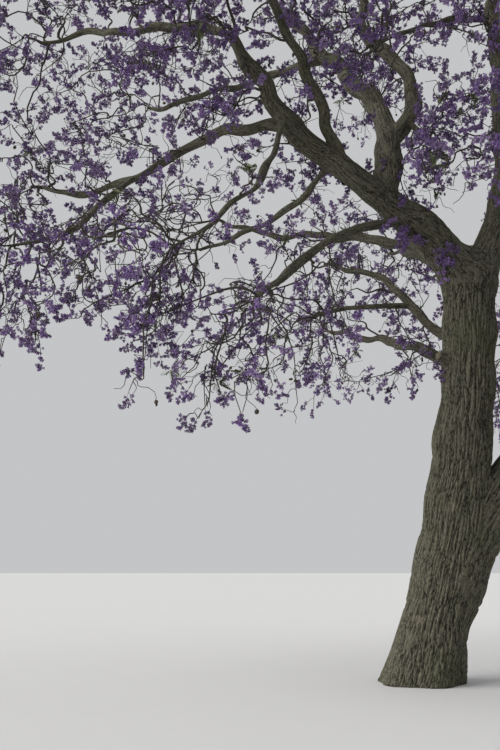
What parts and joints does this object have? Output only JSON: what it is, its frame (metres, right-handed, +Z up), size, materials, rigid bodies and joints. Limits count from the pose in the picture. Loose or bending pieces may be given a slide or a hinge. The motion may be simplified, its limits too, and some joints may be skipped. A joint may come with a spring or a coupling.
{
  "type": "jacaranda tree",
  "caption": "Jacaranda tree in full bloom: a leaning furrowed trunk forks into spreading boughs that carry an open round crown of violet blossom.",
  "frame": {"origin": "middle of the flat cut under the trunk, at ground level", "axes": "+Z up; the trunk leans towards +X, and the camera of the picture looks along +Y"},
  "size_m": [17.3504, 15.2072, 15.0541],
  "materials": {
    "bark": "rough furrowed grey-brown bark",
    "blossom": "matt violet petals on thin twigs, with a few fresh leaves and dark pods"
  },
  "bodies": {
    "root": {"trunk": "bark", "bough_left_leader": "bark", "bough_right_stem": "bark", "bough_back": "bark", "bough_right_low": "bark", "bough_side_left": "bark", "bough_back_low": "bark", "bough_up_left": "bark", "bough_up_middle": "bark", "bough_top_left": "bark", "bough_long_left": "bark", "bough_low_left": "bark", "bough_hanging_near": "bark", "bough_hanging_far": "bark", "bough_crook": "bark", "bough_under_left": "bark", "bough_right_drop": "bark", "bough_cross_left": "bark", "bough_right_front": "bark", "bough_right_back": "bark", "bough_front_low": "bark", "bough_right_upper": "bark", "bough_back_right_upper": "bark", "bough_front_right_upper": "bark", "bough_front": "bark", "bough_front_left": "bark", "bough_back_left": "bark", "bough_back_right_low": "bark", "bough_back_top": "bark", "bough_far_left_top": "bark", "foliage_left_leader": "blossom", "foliage_right_stem": "blossom", "foliage_back": "blossom", "foliage_right_low": "blossom", "foliage_side_left": "blossom", "foliage_back_low": "blossom", "foliage_up_left": "blossom", "foliage_up_middle": "blossom", "foliage_top_left": "blossom", "foliage_long_left": "blossom", "foliage_low_left": "blossom", "foliage_hanging_near": "blossom", "foliage_hanging_far": "blossom", "foliage_crook": "blossom", "foliage_under_left": "blossom", "foliage_right_drop": "blossom", "foliage_cross_left": "blossom", "foliage_right_front": "blossom", "foliage_right_back": "blossom", "foliage_front_low": "blossom", "foliage_right_upper": "blossom", "foliage_back_right_upper": "blossom", "foliage_front_right_upper": "blossom", "foliage_front": "blossom", "foliage_front_left": "blossom", "foliage_back_left": "blossom", "foliage_back_right_low": "blossom", "foliage_back_top": "blossom", "foliage_far_left_top": "blossom"}
  },
  "joints": []
}
